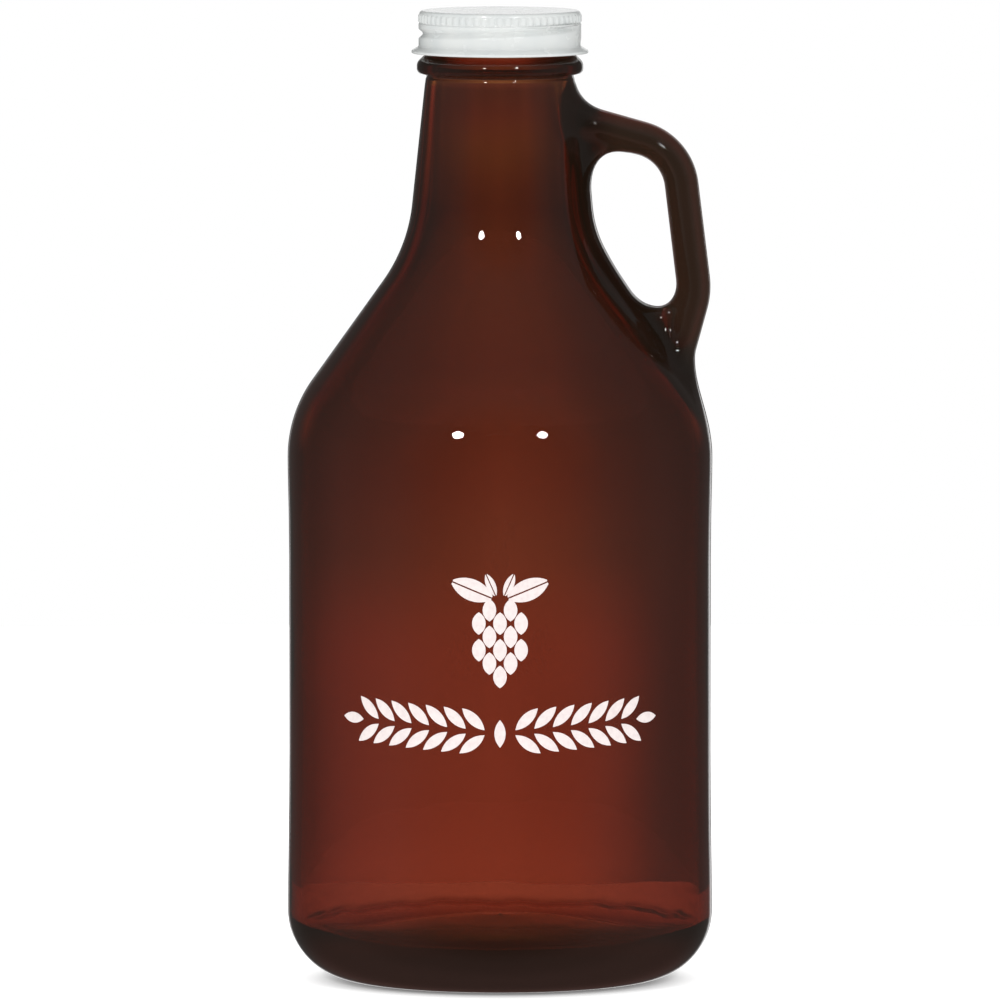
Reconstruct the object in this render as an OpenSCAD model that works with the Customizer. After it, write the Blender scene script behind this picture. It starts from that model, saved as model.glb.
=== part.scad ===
// Quart growler: a blown glass bottle with a finger loop, a fired print and a lined screw cap.
// Z is up and the bottle stands on z = 0. The finger loop points along +X and the print faces -Y.

/* [Bottle] */
// Radius of the body at its contact bands
body_r = 49.6; // [49:0.1:52]
// Depth of the label panel below the contact bands
panel_depth = 0.35; // [0.2:0.05:0.5]
// Radius of the rounding between wall and base
heel_r = 16; // [12:0.5:17]
// Height of the push-up at the middle of the base
push_up = 8.5; // [2:0.1:9]
// Height where the shoulder cone's line meets the body wall's line
shoulder_z = 132.6; // [130:0.1:135]
// Height where the shoulder cone's line meets the neck's line
neck_z = 171.9; // [170:0.1:174]
// Radius where the shoulder cone's line meets the neck's line
neck_low_r = 21.5; // [20.5:0.1:22.5]
// Radius of the neck just under the transfer bead
neck_top_r = 17.3; // [17:0.1:17.6]
// Thickness of the body wall
wall = 2.7; // [2:0.1:3.5]
// Thickness of the glass in the middle of the base
base_t = 7.8; // [4:0.1:8]

/* [Finish] */
// Height of the sealing rim
rim_z = 225.9; // [224:0.1:228]
// Radius of the mouth's bore
mouth_r = 15.25; // [14.5:0.05:15.5]
// Radius of the glass between the thread's turns
root_r = 17.35; // [17.2:0.05:17.5]
// Height of the glass thread above its root
thread_h = 1.1; // [0.9:0.05:1.2]
// Rise of the thread in one turn: six turns to the inch
lead = 4.2333; // [4.1:0.01:4.3]
// Radius of the transfer bead
bead_r = 19.35; // [19:0.05:19.8]
// Distance from the rim down to the top of the transfer bead
bead_drop = 8.9; // [8.8:0.1:9.4]

/* [Finger loop] */
// Thickness of the loop, measured towards the neck
loop_t = 7.5; // [6.5:0.1:8.5]
// Width of the loop, measured along Y
loop_w = 13; // [10:0.5:15]
// Width of the web that joins the loop to the neck and the shoulder
web_w = 8; // [6:0.5:9]

/* [Cap] */
// Thickness of the tinplate
tin = 0.28; // [0.25:0.01:0.3]
// Radius of the cap over its knurls
cap_r = 19.12; // [19.05:0.01:19.2]
// Radius of the curled edge
curl_r = 20.7; // [20.3:0.1:21]
// Distance from the top of the cap to the bottom of its curl
cap_h = 10; // [9.8:0.1:10.2]
// Depth of the rolled thread
roll_h = 1; // [0.8:0.05:1.05]
// Number of knurls
knurls = 64; // [48:1:72]

/* [Liner] */
// Radius of the liner
liner_r = 18.1; // [17.5:0.1:18.2]
// Thickness of the pulpboard backing
backing_t = 0.85; // [0.6:0.05:1]
// Thickness of the film facing
facing_t = 0.15; // [0.1:0.05:0.2]

/* [Print] */
// Thickness of the fired enamel
print_t = 0.12; // [0.08:0.01:0.2]
// Height of the middle of the hop cone
hop_z = 83; // [80:1:88]
// Height of the barley ears at the middle of the print
barley_z = 62; // [58:1:66]

/* [Hidden] */
$fn = 96;

// Degrees of turn in one facet of a rounded outline
arc_step = 6;
// Degrees of turn between the rings of a thread
helix_step = 6;
// Gap that keeps neighbouring pieces of the closure from sharing a face
seat_gap = 0.04;

panel_r = body_r - panel_depth;
// Heights between which the label panel is straight; it swells to body_r above and below
panel_low = 48;
panel_high = 104;
cone_slope = (body_r - neck_low_r) / (neck_z - shoulder_z);
cone_tilt = atan(cone_slope);
cone_wall = 3.3 / cos(cone_tilt);
bead_top = rim_z - bead_drop;
bead_h = 4.5;
// Height of the bead's straight band, below its chamfer
bead_band = 2.6;

facing_z = rim_z + seat_gap;
backing_z = facing_z + facing_t;
cap_top = backing_z + backing_t + seat_gap + tin;
curl_z = cap_top - cap_h;
knurl_low = cap_top - 2.9;
knurl_high = cap_top - 0.75;
knurl_depth = 0.24;
skirt_r = cap_r - 0.07;
band_r = cap_r - 0.26;
// Height of the rolled thread's middle line where it crosses +X on its first turn
roll_z = cap_top - 3.3;

amber = [0.36, 0.15, 0.07, 0.75];
enamel_white = [0.93, 0.9, 0.88];
cap_white = [0.86, 0.87, 0.86];
pulp_grey = [0.72, 0.68, 0.6];
film_white = [0.95, 0.95, 0.93];

function direction(angle) = [cos(angle), sin(angle)];
function unit(v) = v / norm(v);
function flat(v) = [v[0], v[1]];
function signed_turn(from, to) = (to - from + 540) % 360 - 180;
function smooth(t) = let (c = max(0, min(1, t))) c * c * (3 - 2 * c);

// The points that round one corner, given as [x, y, radius], between its two neighbours
function corner(before, here, after) =
    let (
        p = flat(here),
        u = unit(flat(before) - p),
        v = unit(flat(after) - p),
        half = acos(u * v) / 2,
        centre = p + unit(u + v) * here[2] / sin(half),
        from = p + u * here[2] / tan(half) - centre,
        to = p + v * here[2] / tan(half) - centre,
        start = atan2(from[1], from[0]),
        sweep = signed_turn(start, atan2(to[1], to[0])),
        steps = ceil(abs(sweep) / arc_step)
    )
    [for (i = [0:steps]) centre + here[2] * direction(start + sweep * i / steps)];

// A closed outline whose corners are [x, y, radius]; radius 0 stays sharp
function rounded(path) =
    let (n = len(path))
    [for (i = [0:n - 1])
        each path[i][2] == 0 ? [flat(path[i])] : corner(path[(i + n - 1) % n], path[i], path[(i + 1) % n])];

// A closed solid through rings of points, all rings with the same number of points
module sweep_rings(rings) {
    n = len(rings[0]);
    last = len(rings) - 1;
    sides = [for (i = [0:last - 1], j = [0:n - 1])
        let (a = i * n + j, b = i * n + (j + 1) % n)
        each [[a, b, b + n], [a, b + n, a + n]]];
    start_face = [for (j = [0:n - 1]) n - 1 - j];
    end_face = [for (j = [0:n - 1]) last * n + j];
    polyhedron([for (ring = rings) each ring], concat(sides, [start_face, end_face]));
}

// A helical ridge on a wall of radius r: out is 1 to stand outwards and -1 to stand inwards.
// It is h high and 2 * half_w wide, passes height z at angle 0, and fades in and out over fade degrees.
// Its root reaches back into the wall.
module helix_ridge(r, out, h, half_w, z, from, to, fade, back) {
    sink = 0.06;
    sweep_rings([for (a = [from:helix_step:to])
        let (
            k = smooth(min(a - from, to - a) / fade),
            middle = z + lead * a / 360,
            height = function(t) (h + sink) * k * (1 + cos(180 * t)) / 2 - sink,
            crest = [for (t = [-1:0.25:1]) [r + out * height(t), t * out]],
            root = [[r - out * back, out], [r - out * back, -out]]
        )
        [for (p = concat(crest, root)) [p[0] * cos(a), p[0] * sin(a), middle + p[1] * half_w]]]);
}

// ---- Bottle ----

bottle_outline = rounded([
    [0, push_up, 0],
    [15, push_up - 1, 30],
    [body_r - heel_r - 3, 0, 4],
    [body_r, 0, heel_r],
    [body_r, 21, 300],
    [panel_r, panel_low, 900],
    [panel_r, panel_high, 500],
    [body_r, shoulder_z - 12, 120],
    [body_r, shoulder_z, 31],
    [neck_low_r, neck_z, 38],
    [neck_top_r, bead_top - bead_h - 1.2, 1],
    [neck_top_r - 0.5, bead_top - bead_h - 0.3, 0.5],
    [bead_r, bead_top - bead_h + 0.1, 1.3],
    [bead_r, bead_top - bead_h + bead_band, 1.9],
    [root_r, bead_top, 0.8],
    [root_r, rim_z, 0.9],
    [mouth_r, rim_z, 0.7],
    [mouth_r, rim_z - 4, 0],
    [0, rim_z - 4, 0],
]);

inner_neck_r = mouth_r + 2;
inner_cone_z = shoulder_z + (body_r - cone_wall - panel_r + wall) / cone_slope;
cavity_outline = rounded([
    [0, push_up + base_t, 0],
    [8, push_up + base_t - 1.1, 60],
    [panel_r - wall, push_up + base_t - 7.1, 5],
    [panel_r - wall, inner_cone_z, 28],
    [inner_neck_r, shoulder_z + (body_r - cone_wall - inner_neck_r) / cone_slope, 42],
    [mouth_r, rim_z - 16, 20],
    [mouth_r, rim_z + 1, 0],
    [0, rim_z + 1, 0],
]);

// Middle line of the finger loop, in X and Z, from inside the neck to inside the shoulder
loop_line = rounded([
    [13, 203.15, 0],
    [41.55, 195.25, 12.95],
    [45.5, 161.4, 16],
    [42.5, 148, 12],
    [42.5, 136.7, 20],
    [45, 124.5, 0],
]);

finger_hole = rounded([
    [20.15, 194.25, 8.9],
    [38.15, 194.25, 8.9],
    [42.4, 157.9, 5.6],
    [31.5, 157.9, 7],
    [21.3, 175.5, 20],
]);

module finger_loop() {
    last = len(loop_line) - 1;
    sweep_rings([for (i = [0:last])
        let (t = unit(loop_line[min(i + 1, last)] - loop_line[max(i - 1, 0)]), c = loop_line[i])
        [for (a = [0:18:342])
            [c[0] - t[1] * loop_t / 2 * cos(a), loop_w / 2 * sin(a), c[1] + t[0] * loop_t / 2 * cos(a)]]]);
    translate([0, web_w / 2, 0]) rotate([90, 0, 0]) linear_extrude(web_w) difference() {
        polygon(concat(loop_line, [[16, 124.5]]));
        polygon(finger_hole);
    }
}

module bottle() {
    color(amber) difference() {
        union() {
            rotate_extrude() polygon(bottle_outline);
            finger_loop();
            helix_ridge(root_r, 1, thread_h, 1.5, roll_z - lead / 2, -255, 129, 30, 0.8);
        }
        rotate_extrude() polygon(cavity_outline);
    }
}

// ---- Print ----

// A pointed leaf of two arcs along +X, l long and w wide
module leaf(l, w) {
    r = (l * l + w * w) / (4 * w);
    half = asin(l / 2 / r);
    side = [for (i = [-1:0.25:1]) [l / 2 + r * sin(half * i), r * cos(half * i) - r + w / 2]];
    polygon(concat(side, [for (i = [len(side) - 2:-1:1]) [side[i][0], -side[i][1]]]));
}

// Wraps a flat shape on to the label panel, s round from the front and z up
module on_panel(s, z) {
    rotate([0, 0, s / panel_r * 180 / PI]) translate([0, 2 - panel_r, z]) rotate([90, 0, 0])
        linear_extrude(4) children();
}

// Scales of the hop cone in each row, from its tip up
hop_rows = [1, 2, 3, 2, 3, 2];
hop_dx = 4.9;
hop_dz = 3.1;
hop_scale_l = 5.2;
hop_scale_w = 3.15;
hop_top = (len(hop_rows) - 1) * hop_dz / 2 + hop_scale_l / 2;

module hop_cone() {
    for (row = [0:len(hop_rows) - 1], i = [0:hop_rows[row] - 1])
        on_panel((i - (hop_rows[row] - 1) / 2) * hop_dx, hop_z - hop_top + row * hop_dz)
            rotate(90) leaf(hop_scale_l, hop_scale_w);
    for (side = [-1, 1]) {
        on_panel(side * 1.4, hop_z + hop_top) rotate(90 - side * 68) leaf(11, 5);
        on_panel(side * 0.9, hop_z + hop_top + 0.5) rotate(90 - side * 24) leaf(6, 2.2);
    }
}

grain_pairs = 7;
grain_step = 4.4;
grain_start = 3.6;
// Angle between a grain and the line of its ear
grain_lean = 40;
// Rise of an ear for each millimetre outwards
ear_rise = 0.07;

// A barley ear lying outwards from the middle of the print, on one side of it
module barley_ear(side) {
    ear_angle = 90 - side * (90 - atan(ear_rise));
    for (i = [0:grain_pairs - 1], lean = [-1, 1]) {
        s = grain_start + i * grain_step;
        on_panel(side * s, barley_z + ear_rise * s + lean * 0.6)
            rotate(ear_angle + side * lean * grain_lean) leaf(7.2, 2.5);
    }
    tip = grain_start + grain_pairs * grain_step;
    on_panel(side * tip, barley_z + ear_rise * tip) rotate(ear_angle) leaf(6.2, 2.5);
}

module fired_emblem() {
    color(enamel_white) intersection() {
        difference() {
            cylinder(h = shoulder_z, r = panel_r + print_t);
            translate([0, 0, -1]) cylinder(h = shoulder_z + 2, r = panel_r);
        }
        union() {
            hop_cone();
            barley_ear(-1);
            barley_ear(1);
            on_panel(0, barley_z - 3.2) rotate(90) leaf(6.4, 2.6);
        }
    }
}

// ---- Cap ----

cap_outline = rounded([
    [0, cap_top, 0],
    [band_r, cap_top, 0.8],
    [band_r, knurl_low, 0.15],
    [skirt_r, knurl_low - 0.25, 0.15],
    [skirt_r, curl_z + 1.6, 0.5],
    [curl_r, curl_z + 0.65, 0.3],
    [curl_r, curl_z, 0.3],
    [skirt_r + 0.3, curl_z, 0.3],
    [skirt_r - tin, curl_z + 0.9, 0.5],
    [skirt_r - tin, knurl_low - 0.4, 0.15],
    [band_r - tin, knurl_low - 0.1, 0.15],
    [band_r - tin, cap_top - tin, 0.4],
    [0, cap_top - tin, 0],
]);

module knurl_band() {
    steps = knurls * 6;
    middle = cap_r - knurl_depth / 2;
    translate([0, 0, knurl_low]) linear_extrude(knurl_high - knurl_low) difference() {
        polygon([for (i = [0:steps - 1])
            (middle + knurl_depth / 2 * cos(60 * i)) * direction(360 * i / steps)]);
        circle(r = band_r - tin / 2);
    }
}

module cap_shell() {
    color(cap_white) difference() {
        union() {
            rotate_extrude() polygon(cap_outline);
            knurl_band();
            helix_ridge(skirt_r - tin, -1, roll_h, 1.15, roll_z, -372, -6, 36, tin / 2);
        }
        helix_ridge(skirt_r, -1, roll_h, 1.35, roll_z, -372, -6, 36, 1);
    }
}

// ---- Liner ----

module liner_backing() {
    color(pulp_grey) translate([0, 0, backing_z]) cylinder(h = backing_t, r = liner_r);
}

module liner_facing() {
    color(film_white) translate([0, 0, facing_z]) cylinder(h = facing_t, r = liner_r);
}

bottle();
fired_emblem();
cap_shell();
liner_backing();
liner_facing();
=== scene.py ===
import math

import bpy
import numpy as np
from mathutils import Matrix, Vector


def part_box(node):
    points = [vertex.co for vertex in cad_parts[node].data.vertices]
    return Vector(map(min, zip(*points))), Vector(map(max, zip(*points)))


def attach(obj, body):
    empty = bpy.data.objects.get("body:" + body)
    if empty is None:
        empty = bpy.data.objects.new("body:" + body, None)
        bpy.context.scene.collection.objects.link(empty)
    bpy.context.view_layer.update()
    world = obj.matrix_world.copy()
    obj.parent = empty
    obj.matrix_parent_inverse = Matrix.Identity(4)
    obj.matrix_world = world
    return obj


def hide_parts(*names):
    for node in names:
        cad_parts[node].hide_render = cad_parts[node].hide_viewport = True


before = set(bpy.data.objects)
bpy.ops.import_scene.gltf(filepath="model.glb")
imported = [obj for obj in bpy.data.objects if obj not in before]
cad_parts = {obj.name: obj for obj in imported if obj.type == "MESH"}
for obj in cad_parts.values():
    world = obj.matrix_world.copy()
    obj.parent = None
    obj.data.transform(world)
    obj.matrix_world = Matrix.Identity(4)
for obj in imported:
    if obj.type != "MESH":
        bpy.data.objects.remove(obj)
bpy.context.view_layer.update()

MM = 0.001


def node_box(node):
    """Lowest and highest corner of a CAD node, in millimetres."""
    low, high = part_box(node)
    return np.array(low) / MM, np.array(high) / MM


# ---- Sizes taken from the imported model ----

jug_high = node_box("bottle")[1]
cap_low, cap_high = node_box("cap_shell")
board_low, board_high = node_box("liner_backing")
film_low, film_high = node_box("liner_facing")

body_r = round(float(jug_high[1]), 1)
rim_z = float(jug_high[2])
cap_top = float(cap_high[2])
curl_z = float(cap_low[2])
curl_r = float(cap_high[0])
liner_r = float(board_high[0])

# ---- Sizes of the glass ----

panel_inset = 0.35
panel_r = body_r - panel_inset
panel_low = 48.0
panel_high = 104.0
heel_r = 16.0
push_up = 8.5
base_t = 6.7
floor_z = push_up + base_t
wall = 2.7
cavity_r = panel_r - wall
shoulder_z = 132.6
neck_z = 171.9
neck_low_r = 21.5
neck_top_r = 17.3
mouth_r = 15.25
inner_neck_r = mouth_r + 2
root_r = 17.35
bead_drop = 8.9
bead_top = rim_z - bead_drop
bead_h = 4.5
bead_low = bead_top - bead_h
bead_band = 2.6
bead_r = 19.35
neck_top_z = bead_low - 1.2

# The shoulder: radius lost for each millimetre of height, and its glass measured level
cone_slope = (body_r - neck_low_r) / (neck_z - shoulder_z)
cone_t = 3.3
cone_wall = cone_t * math.hypot(1, cone_slope)

# The thread: six turns to the inch, from one angle to another and fading at both, in degrees
thread_h = 1.1
thread_half_w = 1.5
thread_from, thread_to, thread_fade = -255, 129, 30
lead = 25.4 / 6
roll_z = cap_top - 3.3
glass_thread_z = roll_z - lead / 2

# Height and half width of the ridge that the mould's parting line leaves
seam_h = 0.13
seam_w = 0.24

# The dimples pressed into the bearing ring, and the crease inside the heel at the back
ring_r = 32.6
ring_half_w = 0.8
dimple_t = 0.25
dimple_count = 50
crease_z = 12.9
crease_h = 0.8
crease_half_w = 0.7

# ---- Sizes of the cap ----

tin = 0.28
cap_r = 19.12
skirt_r = cap_r - 0.07
band_r = cap_r - 0.26
knurl_low = cap_top - 2.9
knurl_high = cap_top - 0.75
knurls = 64
flute_out = 0.26
flute_depth = 0.46
roll_h = 1.0
roll_half_w = 1.25
roll_from, roll_to, roll_fade = -372, -6, 36


# ---- Outlines ----

def unit(v):
    return v / np.linalg.norm(v)


def corner(before, here, after, step):
    """Points that round the corner here, (x, y, radius), between its neighbours."""
    p = np.array(here[:2], float)
    radius = here[2]
    u = unit(np.array(before[:2], float) - p)
    v = unit(np.array(after[:2], float) - p)
    half = math.acos(np.clip(u @ v, -1, 1)) / 2
    centre = p + unit(u + v) * radius / math.sin(half)
    first = p + u * radius / math.tan(half) - centre
    last = p + v * radius / math.tan(half) - centre
    start = math.atan2(first[1], first[0])
    sweep = (math.atan2(last[1], last[0]) - start + 3 * math.pi) % (2 * math.pi) - math.pi
    count = max(1, math.ceil(abs(math.degrees(sweep)) / step))
    angles = start + sweep * np.arange(count + 1) / count
    return centre + radius * np.stack([np.cos(angles), np.sin(angles)], 1)


def rounded(path, step=2.0, closed=False):
    """An outline of (x, y, radius) corners as points; radius 0 stays sharp."""
    n = len(path)
    parts = []
    for i, here in enumerate(path):
        if here[2] == 0 or (not closed and i in (0, n - 1)):
            parts.append(np.array([here[:2]], float))
        else:
            parts.append(corner(path[i - 1], here, path[(i + 1) % n], step))
    return np.concatenate(parts)


def subdivided(points, length):
    """The same open outline with no stretch longer than length."""
    made = [points[0]]
    for a, b in zip(points, points[1:]):
        count = max(1, math.ceil(np.linalg.norm(b - a) / length))
        made += [a + (b - a) * k / count for k in range(1, count + 1)]
    return np.array(made)


def smooth(t):
    """0 to 1 with level ends, as t goes from 0 to 1."""
    t = np.clip(t, 0, 1)
    return t * t * (3 - 2 * t)


def helix_height(phi, z, middle, half_w, start, end, fade):
    """0 to 1: how high a helical ridge stands at angle phi (radians) and height z.

    It runs from start to end degrees, and fades in and out over fade degrees.
    """
    best = np.zeros(np.broadcast(phi, z).shape)
    degrees = np.degrees(phi)
    for turn in range(-3, 3):
        a = degrees + 360 * turn
        along = smooth(np.minimum(a - start, end - a) / fade)
        across = np.clip((z - middle - lead * a / 360) / half_w, -1, 1)
        best = np.maximum(best, along * (1 + np.cos(math.pi * across)) / 2)
    return best


# ---- Meshes ----

class Shell:
    """Points and faces gathered ring by ring."""

    def __init__(self):
        self.points = []
        self.faces = []
        self.normals = {}

    def add(self, points):
        """Adds points and returns their numbers."""
        first = len(self.points)
        self.points.extend(np.asarray(points, float).tolist())
        return list(range(first, len(self.points)))

    def bridge(self, lower, upper):
        """Faces between two rings, either of which may be a single point."""
        n = max(len(lower), len(upper))
        for i in range(n):
            j = (i + 1) % n
            if len(upper) == 1:
                self.faces.append((lower[i], lower[j], upper[0]))
            elif len(lower) == 1:
                self.faces.append((lower[0], upper[j], upper[i]))
            else:
                self.faces.append((lower[i], lower[j], upper[j], upper[i]))

    def revolve(self, outline, phis, push=None, before=None):
        """Rings through an outline of (r, z) points, pushed along its normal by push(phi, r, z).

        They follow on from the ring before, if there is one, and the last ring is returned.
        """
        tangent = np.gradient(outline, axis=0)
        normal = np.stack([tangent[:, 1], -tangent[:, 0]], 1)
        normal /= np.linalg.norm(normal, axis=1)[:, None] + 1e-12
        previous = before
        for (r, z), (nr, nz) in zip(outline, normal):
            if r < 1e-6:
                ring = self.add([(0, 0, z)])
            else:
                d = push(phis, r, z) if push else np.zeros(len(phis))
                rr = r + nr * d
                ring = self.add(np.stack([rr * np.cos(phis), rr * np.sin(phis), z + nz * d], 1))
            if previous is not None:
                self.bridge(previous, ring)
            previous = ring
        return previous

    def build(self, name, smooth_angle=None):
        """A new object in metres; edges sharper than smooth_angle degrees stay crisp."""
        mesh = bpy.data.meshes.new(name)
        mesh.from_pydata((np.array(self.points) * MM).tolist(), [], self.faces)
        mesh.validate()
        mesh.shade_smooth()
        if self.normals:
            normals = np.array([v.normal for v in mesh.vertices])
            normals[list(self.normals)] = list(self.normals.values())
            mesh.normals_split_custom_set_from_vertices(normals.tolist())
        if smooth_angle:
            mesh.set_sharp_from_angle(angle=math.radians(smooth_angle))
        piece = bpy.data.objects.new(name, mesh)
        bpy.context.scene.collection.objects.link(piece)
        return piece


def ring_angles(count):
    return np.arange(count) * 2 * math.pi / count


# ---- Glass jug: the shape as a field, negative inside the glass ----

# Corners of the outside from the label panel to the foot of the neck
side_corners = [
    (panel_r, panel_high, 500),
    (body_r, shoulder_z - 12, 120),
    (body_r, shoulder_z, 31),
    (neck_low_r, neck_z, 38),
]
jug_outline = rounded([
    (0, push_up, 0),
    (15, push_up - 1, 30),
    (body_r - heel_r - 3, 0, 4),
    (body_r, 0, heel_r),
    (body_r, 21, 300),
    (panel_r, panel_low, 900),
    *side_corners,
    (neck_top_r, neck_top_z, 1),
    (neck_top_r - 0.5, bead_low - 0.3, 0.5),
    (bead_r, bead_low + 0.1, 1.3),
    (bead_r, bead_low + bead_band, 1.9),
    (root_r, bead_top, 0.8),
    (root_r, rim_z, 0.9),
    (mouth_r, rim_z, 0.7),
    (mouth_r, rim_z - 3, 0),
])


def inner_cone_height(r):
    """Height at which the shoulder's inside has radius r."""
    return shoulder_z + (body_r - cone_wall - r) / cone_slope


cavity_outline = rounded([
    (mouth_r, rim_z - 3, 0),
    (mouth_r, rim_z - 16, 20),
    (inner_neck_r, inner_cone_height(inner_neck_r), 42),
    (cavity_r, inner_cone_height(cavity_r), 28),
    (cavity_r, floor_z - 6, 5),
    (16, floor_z - 1.1, 60),
    (0, floor_z, 0),
])

# The middle line of the finger loop, in X and Z, and the hole that it leaves
loop_line = rounded([
    (13, 203.15, 0),
    (41.6, 195.05, 12.95),
    (45.75, 161.4, 16),
    (41.9, 147.5, 12),
    (41.0, 139, 14),
    (40.2, 129, 0),
], step=3.0)
# What lies between the loop and the jug's axis, where the web may be
loop_area = np.concatenate([loop_line, [[16, 129]]])
finger_hole = rounded([
    (19.0, 194.25, 9.2),
    (38.15, 194.25, 8.9),
    (42.4, 157.9, 5.6),
    (31.1, 157.9, 7),
    (20.2, 175.5, 20),
], step=4.0, closed=True)
loop_t = 7.3
loop_w = 13.0
web_w = 9.0
# The blends fill the hole's edge again by about as much as the web stands back from it
web_inset = 0.3

# Radii of the blends at the web's edges, between strap and web, and between loop and wall
web_blend = 3
strap_blend = 2
loop_blend = 6

# Heights between which the jug's outside is meshed from the field
field_low = 124.0
field_high = bead_low - 2


def path_distance(p, path, closed=False):
    """Distance from 2-D points to a path."""
    a = path
    b = np.roll(path, -1, axis=0)
    if not closed:
        a, b = a[:-1], b[:-1]
    best = np.full(len(p), 1e9)
    for start, end in zip(a, b):
        edge = end - start
        t = np.clip(((p - start) @ edge) / max(edge @ edge, 1e-12), 0, 1)
        d = p - start - t[:, None] * edge
        best = np.minimum(best, np.einsum("ij,ij->i", d, d))
    return np.sqrt(best)


def signed_distance(p, outline):
    """Distance from 2-D points to a closed outline, negative inside."""
    inside = np.zeros(len(p), bool)
    for a, b in zip(outline, np.roll(outline, -1, axis=0)):
        crosses = (a[1] > p[:, 1]) != (b[1] > p[:, 1])
        if a[1] != b[1]:
            inside ^= crosses & (p[:, 0] < a[0] + (p[:, 1] - a[1]) / (b[1] - a[1]) * (b[0] - a[0]))
    d = path_distance(p, outline, closed=True)
    return np.where(inside, -d, d)


def soft_min(a, b, k):
    """The lesser of a and b, blended where they are less than k apart."""
    h = np.clip(k - np.abs(a - b), 0, None) / k
    return np.minimum(a, b) - h * h * k / 4


def soft_max(a, b, k):
    return -soft_min(-a, -b, k)


# The wall's radius and the cosine of its lean, by height
wall_stretch = rounded([
    (panel_r, 60, 0),
    *side_corners,
    (neck_top_r, neck_top_z, 0),
    (neck_top_r, bead_top, 0),
], step=0.25)
wall_heights = np.arange(70, bead_top, 0.1)
wall_radii = np.interp(wall_heights, wall_stretch[:, 1], wall_stretch[:, 0])
wall_cosines = 1 / np.hypot(1, np.gradient(wall_radii, wall_heights))


def wall_field(p):
    """The jug's wall without its loop, negative inside."""
    r = np.hypot(p[:, 0], p[:, 1])
    lean = np.interp(p[:, 2], wall_heights, wall_cosines)
    return (r - np.interp(p[:, 2], wall_heights, wall_radii)) * lean


def seam_ridge(across):
    """How far the mould's parting line stands out at a distance across it."""
    return seam_h * np.exp(-(across / seam_w) ** 2)


def loop_form(y, middle, hole, area):
    """The finger loop and its web, negative inside, from y and the distances in their plane."""
    in_plane = middle / (loop_t / 2)
    across = y / (loop_w / 2)
    reach = np.hypot(in_plane, across)
    slope = np.hypot(in_plane / (loop_t / 2), across / (loop_w / 2)) + 1e-9
    strap = reach * (reach - 1) / slope
    web = soft_max(np.abs(y) - web_w / 2, web_inset - hole, web_blend)
    return soft_min(strap, np.maximum(web, area), strap_blend)


def plane_distances(flat):
    """Distances of (x, z) points from the loop's middle line, its hole and its area."""
    return (path_distance(flat, loop_line), signed_distance(flat, finger_hole),
            signed_distance(flat, loop_area))


def in_loop_reach(p):
    return (p[:, 0] > 8) & (np.abs(p[:, 1]) < 16)


def jug_distance(p):
    """Distance to the jug's outside, working out the loop only where it reaches."""
    f = wall_field(p)
    near = in_loop_reach(p)
    q = p[near]
    f[near] = soft_min(f[near], loop_form(q[:, 1], *plane_distances(q[:, [0, 2]])), loop_blend)
    return f - seam_ridge(p[:, 1])


def jug_gradient(p, step=0.04):
    g = np.empty_like(p)
    for axis in range(3):
        offset = np.zeros(3)
        offset[axis] = step
        g[:, axis] = (jug_distance(p + offset) - jug_distance(p - offset)) / (2 * step)
    return g


def half_turn_planes():
    """Angles from 0 to 180 degrees between the mesh's columns, close near the seams."""
    close = [0.1, 0.3, 0.55, 0.95, 1.6, 2.5]
    loop_side = list(np.arange(3.6, 36, 1.1))
    rest = list(np.linspace(loop_side[-1], 180 - close[-1], 70)[1:-1])
    return close + loop_side + rest + [180 - c for c in reversed(close)]


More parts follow.
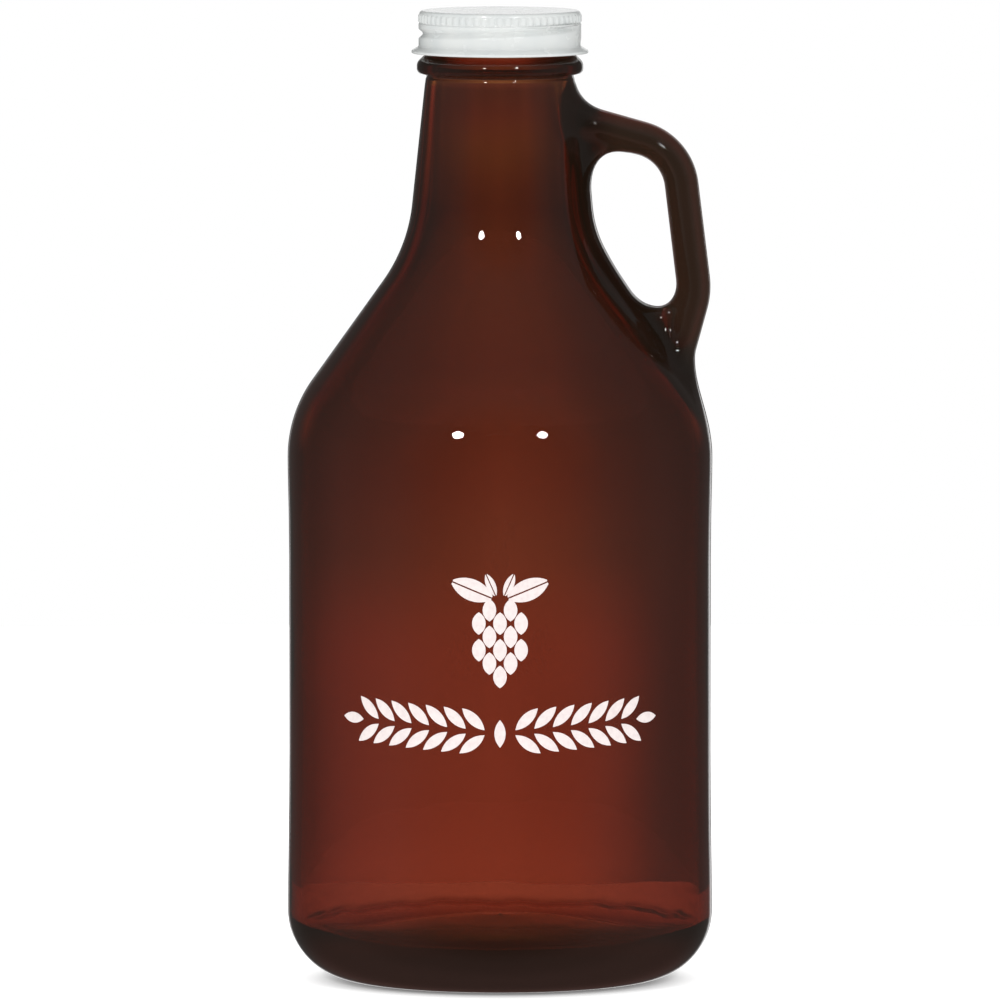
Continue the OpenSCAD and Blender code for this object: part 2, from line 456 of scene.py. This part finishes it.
def surface_net(planes, radii, heights):
    """A quad mesh of the jug's surface on a cylindrical grid that closes on itself in angle.

    Returns its points and faces, the points of its lowest and highest row, and their angles.
    """
    n_phi, n_r, n_z = len(planes), len(radii), len(heights)
    grid = np.stack(np.meshgrid(planes, radii, heights, indexing="ij"), -1).reshape(-1, 3)
    phi, r, z = grid.T
    xyz = np.stack([r * np.cos(phi), r * np.sin(phi), z], 1)
    f = coarse_distance(xyz).reshape(n_phi, n_r, n_z)
    following = np.roll(np.arange(n_phi), -1)
    total = np.zeros((n_phi, n_r - 1, n_z - 1, 3))
    count = np.zeros((n_phi, n_r - 1, n_z - 1))

    def corner_values(i, j, k):
        part = f[following] if i else f
        return part[:, j:n_r - 1 + j, k:n_z - 1 + k]

    for axis in range(3):
        for b in (0, 1):
            for c in (0, 1):
                low, high = [b, c], [b, c]
                low.insert(axis, 0)
                high.insert(axis, 1)
                f0, f1 = corner_values(*low), corner_values(*high)
                crossed = (f0 < 0) != (f1 < 0)
                t = np.where(crossed, f0 / np.where(crossed, f0 - f1, 1), 0)
                crossing = np.broadcast_to(np.array(low, float), t.shape + (3,)).copy()
                crossing[..., axis] = t
                total += np.where(crossed[..., None], crossing, 0)
                count += crossed
    cells = np.argwhere(count > 0)
    index = -np.ones(count.shape, int)
    index[tuple(cells.T)] = np.arange(len(cells))
    inside = total[tuple(cells.T)] / count[tuple(cells.T)][:, None]
    width = (planes[following] - planes) % (2 * math.pi)
    phi = planes[cells[:, 0]] + inside[:, 0] * width[cells[:, 0]]
    r = radii[cells[:, 1]] + inside[:, 1] * (radii[cells[:, 1] + 1] - radii[cells[:, 1]])
    z = heights[cells[:, 2]] + inside[:, 2] * (heights[cells[:, 2] + 1] - heights[cells[:, 2]])
    points = np.stack([r * np.cos(phi), r * np.sin(phi), z], 1)

    faces = []
    solid = f < 0

    def add_quads(i, j, k, steps):
        """A face across each edge that starts at (i, j, k), through the four cells round it."""
        for edge in zip(i, j, k):
            quad = [index[(edge[0] - a) % n_phi, edge[1] - b, edge[2] - c] for a, b, c in steps]
            faces.append(quad[::-1] if solid[edge] else quad)

    i, j, k = np.nonzero(solid[:, 1:-1, 1:-1] != solid[following][:, 1:-1, 1:-1])
    add_quads(i, j + 1, k + 1, [(0, 1, 1), (0, 0, 1), (0, 0, 0), (0, 1, 0)])
    i, j, k = np.nonzero(solid[:, :-1, 1:-1] != solid[:, 1:, 1:-1])
    add_quads(i, j, k + 1, [(1, 0, 1), (1, 0, 0), (0, 0, 0), (0, 0, 1)])
    i, j, k = np.nonzero(solid[:, 1:-1, :-1] != solid[:, 1:-1, 1:])
    add_quads(i, j + 1, k, [(1, 1, 0), (0, 1, 0), (0, 0, 0), (1, 0, 0)])
    low_row = [max(index[i, :, 0]) for i in range(n_phi)]
    high_row = [max(index[i, :, -1]) for i in range(n_phi)]
    return points, faces, low_row, high_row, (planes + width / 2)


def coarse_distance(p):
    """About jug_distance, with the distances in the loop's plane read from tables."""
    pitch = 0.5
    xs = np.arange(6, 56, pitch)
    zs = np.arange(field_low - 4, field_high + 4, pitch)
    flat = np.stack(np.meshgrid(xs, zs, indexing="ij"), -1).reshape(-1, 2)
    tables = [t.reshape(len(xs), len(zs)) for t in plane_distances(flat)]
    f = wall_field(p) - seam_ridge(p[:, 1])
    near = in_loop_reach(p)
    q = p[near]
    u = np.clip((q[:, 0] - xs[0]) / pitch, 0, len(xs) - 1.001)
    v = np.clip((q[:, 2] - zs[0]) / pitch, 0, len(zs) - 1.001)
    i, j = u.astype(int), v.astype(int)
    a, b = u - i, v - j

    def read(t):
        return (t[i, j] * (1 - a) * (1 - b) + t[i + 1, j] * a * (1 - b)
                + t[i, j + 1] * (1 - a) * b + t[i + 1, j + 1] * a * b)

    f[near] = soft_min(f[near], loop_form(q[:, 1], *(read(t) for t in tables)), loop_blend)
    return f


def relaxed(points, faces, fixed, rounds):
    """Evens out a net of quads: points move towards their neighbours' middle, in r and z only."""
    quads = np.array(faces)
    edges = np.concatenate([quads[:, [i, (i + 1) % 4]] for i in range(4)])
    edges = np.concatenate([edges, edges[:, ::-1]])
    n = len(points)
    count = np.bincount(edges[:, 0], minlength=n)[:, None]
    for _ in range(rounds):
        total = [np.bincount(edges[:, 0], weights=points[edges[:, 1], axis], minlength=n)
                 for axis in range(3)]
        move = np.stack(total, 1) / count - points
        across = np.stack([-points[:, 1], points[:, 0]], 1)
        across /= np.hypot(points[:, 0], points[:, 1])[:, None]
        move[:, :2] -= np.einsum("ij,ij->i", move[:, :2], across)[:, None] * across
        move[fixed] = 0
        points = points + 0.6 * move
    return points


def projected(points, furthest=0.6):
    """Points moved one step on to the jug's surface."""
    g = jug_gradient(points)
    move = g * (jug_distance(points) / (np.einsum("ij,ij->i", g, g) + 1e-9))[:, None]
    size = np.linalg.norm(move, axis=1)[:, None]
    return points - move * np.minimum(1, furthest / (size + 1e-9))


def make_jug():
    half = np.array(half_turn_planes())
    planes = np.radians(np.concatenate([-half[::-1], half]))
    radii = np.arange(11.5, body_r + 2.5, 1.0)
    heights = np.linspace(field_low, field_high, 88)
    points, faces, low_row, high_row, phis = surface_net(planes, radii, heights)
    fixed = low_row + high_row
    points = projected(points)
    for _ in range(3):
        points = projected(relaxed(points, faces, fixed, 6))
    points = projected(projected(points))

    def push_low(phi, r, z):
        """The seams on the wall, and the row of dimples round the bearing ring."""
        on_wall = smooth((r - 34) / 6)
        on_ring = np.exp(-((r - ring_r) / ring_half_w) ** 2) * (z < 0.5)
        dimples = dimple_t * np.clip(np.cos(dimple_count * phi), 0, 1) * on_ring
        return seam_ridge(r * np.sin(phi)) * on_wall - dimples

    def push_top(phi, r, z):
        on_side = smooth((rim_z - z) / 1.2) * (r > mouth_r + 1)
        ridge = helix_height(
            phi, z, glass_thread_z, thread_half_w, thread_from, thread_to, thread_fade)
        seam = 0.7 * seam_ridge(r * np.sin(phi))
        return on_side * (thread_h * ridge * (z > bead_top) + seam)

    def push_inside(phi, r, z):
        """Blown glass: slow waves, a thinner wall above the heel and a crease at its back."""
        wave = (np.sin(3 * phi + 0.7 + z / 31) + 0.6 * np.sin(5 * phi - z / 17 + 2)
                + 0.4 * np.sin(8 * phi + z / 11 + 4)) / 2
        settle = (np.sin(7 * phi + 1) + np.sin(17 * phi + 2) + np.sin(29 * phi + 3)) / 3
        depth = smooth((rim_z - 14 - z) / 20)
        at_back = smooth((r - 42) / 4) * smooth(3 * np.sin(phi))
        off_crease = (z - crease_z - 0.7 * settle) / crease_half_w
        crease = crease_h * np.exp(-off_crease ** 2) * at_back
        thin = 0.35 * smooth((42 - z) / 20) * smooth((z - 12) / 4)
        return -thin - (0.07 * wave * depth) * smooth(r / 20) + crease

    shell = Shell()
    # The rings stop a little short of the net and are joined to it
    low_z, high_z = field_low - 0.2, field_high + 0.2
    join_low = [np.interp(low_z, wall_heights, wall_radii), low_z]
    outline_low = np.array([p for p in jug_outline if p[1] < field_low - 0.5] + [join_low])
    outline_low = subdivided(outline_low, 2.5)
    ring = shell.revolve(outline_low, phis, push_low)
    offset = len(shell.points)
    shell.add(points)
    g = jug_gradient(points)
    g /= np.linalg.norm(g, axis=1)[:, None]
    shell.normals = {offset + i: n for i, n in enumerate(g)}
    shell.faces.extend([tuple(int(v) + offset for v in quad) for quad in faces])
    shell.bridge(ring, [int(v) + offset for v in low_row])
    first_high = np.argmax(jug_outline[:, 1] > high_z)
    join_high = [np.interp(high_z, wall_heights, wall_radii), high_z]
    outline_high = np.concatenate([[join_high], jug_outline[first_high:]])
    outline_high = subdivided(outline_high, 0.3)
    ring = shell.revolve(outline_high, phis, push_top, before=[int(v) + offset for v in high_row])
    # Finer rings round the heel and the floor, which show through the glass
    inside = subdivided(cavity_outline[1:], 3.0)
    start = np.argmax(inside[:, 1] < 20)
    inside = np.concatenate([inside[:start], subdivided(inside[start:], 0.5)])
    shell.revolve(inside, phis, push_inside, before=ring)
    return shell.build("jug_glass")


# ---- Fired print ----

print_t = 0.12
print_edge_t = 0.55 * print_t
print_sink = 0.02


def on_panel(s, z, height):
    """Points on the label panel: s round from the front, z up, height above the glass."""
    r = panel_r + height
    angle = s / panel_r - math.pi / 2
    return np.stack([r * np.cos(angle), r * np.sin(angle), z], -1)


def add_ink(shell, s, z):
    """A closed film over a grid of panel places, with softened edges."""
    n, m = s.shape
    edge = np.zeros((n, m), bool)
    edge[[0, -1], :] = True
    edge[:, [0, -1]] = True
    top = on_panel(s, z, np.where(edge, print_edge_t, print_t)).reshape(-1, 3)
    bottom = on_panel(s, z, np.full(s.shape, -print_sink)).reshape(-1, 3)
    up = np.array(shell.add(top)).reshape(n, m)
    down = np.array(shell.add(bottom)).reshape(n, m)
    for i in range(n - 1):
        for j in range(m - 1):
            shell.faces.append((up[i, j], up[i + 1, j], up[i + 1, j + 1], up[i, j + 1]))
            shell.faces.append((down[i, j + 1], down[i + 1, j + 1], down[i + 1, j], down[i, j]))
    round_up, round_down = (
        [*grid[:, 0], *grid[-1, 1:], *grid[-2::-1, -1], *grid[0, -2:0:-1]] for grid in (up, down))
    for a in range(len(round_up)):
        b = (a + 1) % len(round_up)
        shell.faces.append((round_up[b], round_up[a], round_down[a], round_down[b]))


def add_leaf(shell, s, z, angle, length, width, slit=0.0):
    """A pointed leaf from (s, z) along angle degrees; slit leaves a midrib of bare glass."""
    r = (length ** 2 + width ** 2) / (4 * width)
    half = math.asin(length / 2 / r)
    t = np.linspace(-1, 1, 17)
    along = length / 2 + r * np.sin(half * t)
    side = np.maximum(r * np.cos(half * t) - r + width / 2, 0.03)
    c, d = math.cos(math.radians(angle)), math.sin(math.radians(angle))
    if slit:
        keep = side > slit / 2 + 0.08
        bands = [np.linspace(slit / 2, side[keep], 4, axis=1),
                 np.linspace(-side[keep], -slit / 2, 4, axis=1)]
        along = along[keep]
    else:
        bands = [np.linspace(-side, side, 6, axis=1)]
    for across in bands:
        a = np.broadcast_to(along[:, None], across.shape)
        add_ink(shell, s + a * c - across * d, z + a * d + across * c)


def make_print():
    """A hop cone with four leaves over two ears of barley."""
    shell = Shell()
    hop_z = 83.0
    hop_rows = [1, 2, 3, 2, 3, 2]
    hop_dx, hop_dz, scale_l, scale_w = 4.9, 3.1, 5.2, 3.15
    hop_top = (len(hop_rows) - 1) * hop_dz / 2 + scale_l / 2
    for row, count in enumerate(hop_rows):
        for i in range(count):
            s = (i - (count - 1) / 2) * hop_dx
            add_leaf(shell, s, hop_z - hop_top + row * hop_dz, 90, scale_l, scale_w)
    for side in (-1, 1):
        add_leaf(shell, side * 1.4, hop_z + hop_top, 90 - side * 68, 11, 5, slit=0.35)
        add_leaf(shell, side * 0.9, hop_z + hop_top + 0.5, 90 - side * 24, 6, 2.2, slit=0.25)

    barley_z, pairs, step, start, lean, rise = 62.0, 7, 4.4, 3.6, 40, 0.07
    kernel_l, kernel_w = 7.2, 2.5
    for side in (-1, 1):
        ear_angle = 90 - side * (90 - math.degrees(math.atan(rise)))
        for i in range(pairs):
            s = start + i * step
            for up in (-1, 1):
                angle = ear_angle + side * up * lean
                z = barley_z + rise * s + up * 0.6
                add_leaf(shell, side * s, z, angle, kernel_l, kernel_w)
        tip = start + pairs * step
        add_leaf(shell, side * tip, barley_z + rise * tip, ear_angle, 6.2, kernel_w)
    add_leaf(shell, 0, barley_z - 3.2, 90, 6.4, 2.6)
    return shell.build("fired_print", smooth_angle=50)


# ---- Cap and liner ----

def make_cap():
    outline = rounded([
        (0, cap_top, 0),
        (band_r, cap_top, 0.8),
        (band_r, knurl_low, 0.15),
        (skirt_r, knurl_low - 0.25, 0.15),
        (skirt_r, curl_z + 1.6, 0.5),
        (curl_r, curl_z + 0.65, 0.3),
        (curl_r, curl_z, 0.3),
        (skirt_r + 0.3, curl_z, 0.3),
        (skirt_r - tin, curl_z + 0.9, 0.5),
        (skirt_r - tin, knurl_low - 0.4, 0.15),
        (band_r - tin, knurl_low - 0.1, 0.15),
        (band_r - tin, cap_top - tin, 0.4),
        (0, cap_top - tin, 0),
    ], step=8)[::-1]
    outline = subdivided(outline, 0.32)
    # Fewer rings where the top is flat
    flat = outline[:, 0] < band_r - 1.6
    last = len(outline) - 1
    outline = outline[[i for i in range(len(outline)) if not flat[i] or i % 6 == 0 or i == last]]
    phis = ring_angles(knurls * 10)

    def push(phi, r, z):
        on_wall = r > band_r - tin - 0.05
        knurl = smooth((z - knurl_low) / 0.3) * smooth((knurl_high - z) / 0.35)
        flute = flute_out - flute_depth * ((1 - np.cos(knurls * phi)) / 2) ** 2
        on_skirt = (z < knurl_low + 0.4) * (r < skirt_r + 0.2)
        roll = helix_height(phi, z, roll_z, roll_half_w, roll_from, roll_to, roll_fade)
        # Inner and outer sides of the tin move together, and their normals are opposite
        inward = r < band_r - 0.02 or (r < skirt_r - 0.02 and z < knurl_low)
        sign = -1 if inward else 1
        return sign * on_wall * (flute * knurl - roll_h * roll * on_skirt)

    shell = Shell()
    shell.revolve(outline, phis, push)
    return shell.build("cap_tinplate")


def make_disc(name, low, high, radius, groove=0.0):
    """A disc with softened edges, and under it the ring that the rim has pressed into it."""
    soft = (high - low) * 0.3
    outline = subdivided(rounded([
        (0, low, 0), (radius, low, soft), (radius, high, soft), (0, high, 0),
    ], step=15), 0.35)

    def push(phi, r, z):
        on_face = z < low + 1e-6
        rim_middle = (mouth_r + root_r) / 2
        press = groove * np.exp(-((r - rim_middle) / 0.7) ** 2) * on_face
        return np.full(len(phi), -press)

    shell = Shell()
    shell.revolve(outline, ring_angles(144), push)
    return shell.build(name)


# ---- Materials ----

class Net:
    """The node tree of a material or world, with the few kinds of node it is made of."""

    def __init__(self, owner):
        owner.use_nodes = True
        self.owner = owner
        self.nodes = owner.node_tree.nodes
        self.links = owner.node_tree.links

    def feed(self, socket, value):
        """Sets a socket to a fixed value, or links it to another node's output."""
        if isinstance(value, bpy.types.NodeSocket):
            self.links.new(value, socket)
        else:
            socket.default_value = value

    def shade(self, **values):
        """Feeds the Principled shader's inputs, whose names are written with underscores."""
        shader = self.nodes["Principled BSDF"]
        for name, value in values.items():
            self.feed(shader.inputs[name.replace("_", " ")], value)

    def axes(self, output="Object"):
        """X, Y and Z of the object's own coordinates, or of another kind of coordinates."""
        spot = self.nodes.new("ShaderNodeTexCoord")
        split = self.nodes.new("ShaderNodeSeparateXYZ")
        self.feed(split.inputs["Vector"], spot.outputs[output])
        return [split.outputs[name] for name in "XYZ"]

    def noise(self, scale, detail=3.0, rough=0.5):
        """Noise in the object's own coordinates; scale is in features per metre."""
        spot = self.nodes.new("ShaderNodeTexCoord")
        tex = self.nodes.new("ShaderNodeTexNoise")
        tex.inputs["Scale"].default_value = scale
        tex.inputs["Detail"].default_value = detail
        tex.inputs["Roughness"].default_value = rough
        self.feed(tex.inputs["Vector"], spot.outputs["Object"])
        return tex.outputs["Fac"]

    def ramp(self, fac, start, first, end, last):
        """Colour first up to start, colour last from end on."""
        node = self.nodes.new("ShaderNodeValToRGB")
        for element, position, colour in zip(node.color_ramp.elements, (start, end), (first, last)):
            element.position = position
            element.color = (*colour, 1)
        self.feed(node.inputs["Fac"], fac)
        return node.outputs["Color"]

    def map_range(self, fac, low, high, start, end):
        node = self.nodes.new("ShaderNodeMapRange")
        node.inputs["From Min"].default_value = start
        node.inputs["From Max"].default_value = end
        node.inputs["To Min"].default_value = low
        node.inputs["To Max"].default_value = high
        self.feed(node.inputs["Value"], fac)
        return node

    def spread(self, fac, low, high):
        """low to high as noise goes through its usual span."""
        return self.map_range(fac, low, high, 0.3, 0.7).outputs["Result"]

    def level(self, fac, low, high, start, end):
        """low to high, smoothly, as fac goes from start to end."""
        node = self.map_range(fac, low, high, start, end)
        node.interpolation_type = "SMOOTHSTEP"
        return node.outputs["Result"]

    def calc(self, operation, a, b):
        node = self.nodes.new("ShaderNodeMath")
        node.operation = operation
        self.feed(node.inputs[0], a)
        self.feed(node.inputs[1], b)
        return node.outputs["Value"]

    def add(self, a, b):
        return self.calc("ADD", a, b)

    def subtract(self, a, b):
        return self.calc("SUBTRACT", a, b)

    def multiply(self, a, b):
        return self.calc("MULTIPLY", a, b)

    def bump(self, fac, distance, strength=1.0):
        node = self.nodes.new("ShaderNodeBump")
        node.inputs["Distance"].default_value = distance
        node.inputs["Strength"].default_value = strength
        self.feed(node.inputs["Height"], fac)
        return node.outputs["Normal"]


def new_net(name):
    return Net(bpy.data.materials.new(name))


def amber_glass():
    net = new_net("amber_glass")
    net.shade(
        Base_Color=(1, 1, 1, 1),
        Transmission_Weight=1.0,
        IOR=1.52,
        Roughness=net.spread(net.noise(60), 0.0, 0.03),
        Normal=net.bump(net.noise(45, 1.0), 0.00012),
    )
    # Painted light: the glass glows faintly orange, to lighten its dark parts as veiling glare
    # would. The glow is stronger on the finger loop, by how far a point stands out from shoulder
    # cone and neck
    x, y, z = net.axes()
    radius = net.calc("SQRT", net.add(net.multiply(x, x), net.multiply(y, y)), 0.0)
    above_shoulder = net.subtract(z, shoulder_z * MM)
    cone_radius = net.subtract(body_r * MM, net.multiply(above_shoulder, cone_slope))
    wall_radius = net.calc("MAXIMUM", cone_radius, bead_r * MM)
    proud = net.subtract(radius, wall_radius)
    # Painted glow: orange emission over all the glass, brighter on the loop
    net.shade(
        Emission_Color=(1.0, 0.6, 0.36, 1),
        Emission_Strength=net.level(proud, 0.008, 0.022, 0.001, 0.01),
    )
    absorb = net.nodes.new("ShaderNodeVolumeAbsorption")
    absorb.inputs["Color"].default_value = (0.62, 0.21, 0.035, 1)
    absorb.inputs["Density"].default_value = 900.0
    net.feed(net.nodes["Material Output"].inputs["Volume"], absorb.outputs["Volume"])
    return net.owner


def fired_enamel():
    net = new_net("fired_enamel")
    grain = net.noise(900, 4.0, 0.6)
    net.shade(
        Base_Color=net.ramp(grain, 0.3, (0.78, 0.68, 0.67), 0.6, (0.86, 0.77, 0.75)),
        Roughness=net.spread(net.noise(400), 0.28, 0.42),
        Normal=net.bump(grain, 0.00003, 0.6),
    )
    return net.owner


def cap_enamel():
    net = new_net("cap_enamel")
    net.shade(
        Base_Color=net.ramp(net.noise(160), 0.3, (0.69, 0.72, 0.715), 0.7, (0.75, 0.77, 0.755)),
        Roughness=net.spread(net.noise(300), 0.2, 0.3),
        Coat_Weight=0.5,
        Coat_Roughness=0.12,
        Normal=net.bump(net.noise(1400, 2.0), 0.000008, 0.5),
    )
    return net.owner


def pulpboard():
    net = new_net("pulpboard")
    fibre = net.noise(2200, 6.0, 0.7)
    net.shade(
        Base_Color=net.ramp(fibre, 0.35, (0.42, 0.37, 0.29), 0.65, (0.62, 0.56, 0.46)),
        Roughness=0.9,
        Normal=net.bump(fibre, 0.0001),
    )
    return net.owner


def liner_film():
    net = new_net("liner_film")
    net.shade(
        Base_Color=net.ramp(net.noise(250), 0.3, (0.84, 0.84, 0.81), 0.7, (0.90, 0.90, 0.88)),
        Roughness=net.spread(net.noise(500), 0.3, 0.45),
        Normal=net.bump(net.noise(700, 2.0), 0.00003),
    )
    return net.owner


# ---- Assembly ----

def place(piece, body, node, mat):
    """Puts a piece in its CAD node's stead, and gives both the same material."""
    piece.data.materials.append(mat)
    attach(piece, body)
    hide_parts(node)
    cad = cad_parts[node]
    cad.data.materials.clear()
    cad.data.materials.append(mat)


place(make_jug(), "jug", "bottle", amber_glass())
place(make_print(), "jug", "fired_emblem", fired_enamel())
place(make_cap(), "cap", "cap_shell", cap_enamel())
board = make_disc("liner_board", board_low[2], board_high[2], liner_r)
place(board, "liner", "liner_backing", pulpboard())
film = make_disc("liner_film", film_low[2], film_high[2], liner_r, groove=0.05)
place(film, "liner", "liner_facing", liner_film())


# ---- Studio ----

def make_floor():
    net = new_net("pale_floor")
    # Painted shadow: the floor's glow is dimmed under the jug's foot, so that little light comes up
    # from under the jug
    away = net.nodes.new("ShaderNodeVectorMath")
    away.operation = "LENGTH"
    spot = net.nodes.new("ShaderNodeTexCoord")
    net.feed(away.inputs[0], spot.outputs["Object"])
    net.shade(
        Base_Color=net.ramp(net.noise(3), 0.3, (0.86, 0.86, 0.86), 0.7, (0.88, 0.88, 0.88)),
        Roughness=0.8,
        Emission_Color=(1, 1, 1, 1),
        Emission_Strength=net.level(away.outputs["Value"], 0.15, 0.7, 0.032, 0.047),
    )
    # Just below the jug's foot, so that the two never share a surface
    drop = 0.2
    shell = Shell()
    outline = np.array([(r, -drop) for r in (950.0, 500.0, 200.0, 0.0)])
    shell.revolve(outline, ring_angles(128))
    floor = shell.build("floor")
    floor.data.materials.append(net.owner)
    floor.visible_glossy = False


def tent_brightness(net, x, y, z):
    """Dim above and bright below, with a brighter streak on each of the tent's four sides."""
    # Nearness to one of the four sides' middles, and how wide its streak is at each height
    aside = net.calc("MINIMUM", net.calc("ABSOLUTE", x, 0.0), net.calc("ABSOLUTE", y, 0.0))
    width = net.add(net.level(z, 0.036, 0.028, 0.09, 0.125), net.level(z, 0.0, 0.008, 0.15, 0.17))
    widths = net.calc("DIVIDE", aside, width)
    streak_top = net.level(z, 0.62, 0.36, 0.14, 0.2)
    streak = net.calc("DIVIDE", streak_top, net.add(net.multiply(widths, widths), 1.0))
    right = net.level(x, 1.0, 0.3, 0.015, 0.05)
    upper = net.add(net.multiply(streak, right), 0.22)
    upper = net.multiply(upper, net.level(z, 1.0, 0.35, 0.168, 0.188))
    corners = net.level(aside, 0.0, 1.0, 0.115, 0.155)
    upper = net.add(upper, net.multiply(corners, net.level(z, 0.0, 1.0, 0.12, 0.16)))

    low_right = net.level(x, 0.75, 0.0, 0.02, 0.062)
    low_left = net.level(x, -0.6, 0.0, -0.12, -0.035)
    lower = net.add(net.add(low_right, low_left), 0.28)
    near_floor = net.level(z, 0.2, 0.0, 0.0, 0.04)
    lower = net.add(lower, net.multiply(near_floor, right))
    return upper, lower


def make_tent():
    """A glowing light tent round the jug, seen only through the glass."""
    net = new_net("tent")
    net.nodes.clear()
    x, y, z = net.axes()
    upper, lower = tent_brightness(net, x, y, z)
    share = net.level(z, 1.0, 0.0, 0.053, 0.088)
    strength = net.add(upper, net.multiply(share, net.subtract(lower, upper)))
    # Greener behind the shoulder and the foot of the neck
    green = net.subtract(1.2, net.multiply(share, 0.33))
    green = net.add(green, net.level(z, 0.0, 0.7, 0.1, 0.16))
    green = net.subtract(green, net.level(z, 0.0, 0.9, 0.166, 0.18))
    blue = net.subtract(1.05, net.multiply(share, 0.25))
    colour = net.nodes.new("ShaderNodeCombineColor")
    for name, value in (("Red", 1.0), ("Green", green), ("Blue", blue)):
        net.feed(colour.inputs[name], value)
    emission = net.nodes.new("ShaderNodeEmission")
    net.feed(emission.inputs["Color"], colour.outputs["Color"])
    net.feed(emission.inputs["Strength"], strength)
    output = net.nodes.new("ShaderNodeOutputMaterial")
    net.feed(output.inputs["Surface"], emission.outputs["Emission"])

    radius, bottom, top, sides = 220.0, 0.5, 500.0, 72
    shell = Shell()
    x, y = (radius * f(ring_angles(sides)) for f in (np.cos, np.sin))
    rings = [shell.add(np.stack([x, y, np.full(sides, h)], 1)) for h in (bottom, top)]
    shell.bridge(*rings)
    tent = shell.build("tent")
    tent.data.materials.append(net.owner)
    tent.visible_camera = False
    tent.visible_diffuse = False
    tent.visible_glossy = False
    tent.visible_shadow = False


def make_world():
    world = bpy.data.worlds.new("studio")
    bpy.context.scene.world = world
    net = Net(world)
    net.nodes.clear()
    path = net.nodes.new("ShaderNodeLightPath")
    x, y, z = net.axes("Generated")

    def choose(ray, otherwise, chosen):
        node = net.nodes.new("ShaderNodeMix")
        node.data_type = "FLOAT"
        net.feed(node.inputs["Factor"], path.outputs[ray])
        net.feed(node.inputs["A"], otherwise)
        net.feed(node.inputs["B"], chosen)
        return node.outputs["Result"]

    # Mirrored in the glass: a dim room, and a bright backdrop only just beside the jug
    room = net.add(net.level(y, 0.055, 0.16, -1.0, -0.4), net.level(y, 0.0, -0.1, 0.0, 0.8))
    backdrop = net.multiply(
        net.level(y, 0.0, 0.95, 0.94, 0.995), net.level(x, 0.03, 1.0, -0.2, -0.03))
    strength = choose("Is Reflection Ray", 0.7, net.add(room, backdrop))
    strength = choose("Is Diffuse Ray", strength, 0.7)
    strength = choose("Is Transmission Ray", strength, 0.3)
    strength = choose("Is Camera Ray", strength, 1.0)
    # What the foot mirrors is tinted by the light that falls through the amber glass
    tint = net.nodes.new("ShaderNodeMix")
    tint.data_type = "RGBA"
    factor, plain, tinted, mixed = tint.inputs[0], tint.inputs[6], tint.inputs[7], tint.outputs[2]
    downwards = net.level(z, 1.0, 0.0, -0.55, -0.2)
    net.feed(factor, net.multiply(downwards, path.outputs["Is Reflection Ray"]))
    net.feed(plain, (1, 1, 1, 1))
    net.feed(tinted, (2.1, 1.1, 1.0, 1))
    background = net.nodes.new("ShaderNodeBackground")
    net.feed(background.inputs["Color"], mixed)
    net.feed(background.inputs["Strength"], strength)
    output = net.nodes.new("ShaderNodeOutputWorld")
    net.feed(output.inputs["Surface"], background.outputs["Background"])


def aim(obj, azimuth, elevation, distance, target):
    """Puts obj at a distance from target, seen from it at two angles in degrees, looking back."""
    a, e = math.radians(azimuth), math.radians(elevation)
    back = Vector((math.sin(a) * math.cos(e), -math.cos(a) * math.cos(e), math.sin(e)))
    obj.location = Vector(target) + distance * back
    obj.rotation_mode = "QUATERNION"
    obj.rotation_quaternion = (-back).to_track_quat("-Z", "Y")


def make_lamp(name, azimuth, size, power):
    lamp = bpy.data.lights.new(name, "AREA")
    lamp.shape = "DISK"
    lamp.size = size
    lamp.energy = power
    obj = bpy.data.objects.new(name, lamp)
    bpy.context.scene.collection.objects.link(obj)
    aim(obj, azimuth, 27, 2.4, (0, 0, 0.12))


def make_camera():
    distance = 4.06
    middle = 0.1124
    frame_width = 0.2343
    data = bpy.data.cameras.new("camera")
    data.sensor_width = 36.0
    data.lens = data.sensor_width * distance / frame_width
    camera = bpy.data.objects.new("camera", data)
    bpy.context.scene.collection.objects.link(camera)
    aim(camera, 0, 4.6, distance, (0, 0, middle))
    bpy.context.scene.camera = camera


make_floor()
make_tent()
make_world()
make_lamp("softbox_left", -24.5, 0.25, 9)
make_lamp("softbox_right", 24.5, 0.22, 8)
make_camera()
bpy.context.scene.view_settings.view_transform = "Standard"
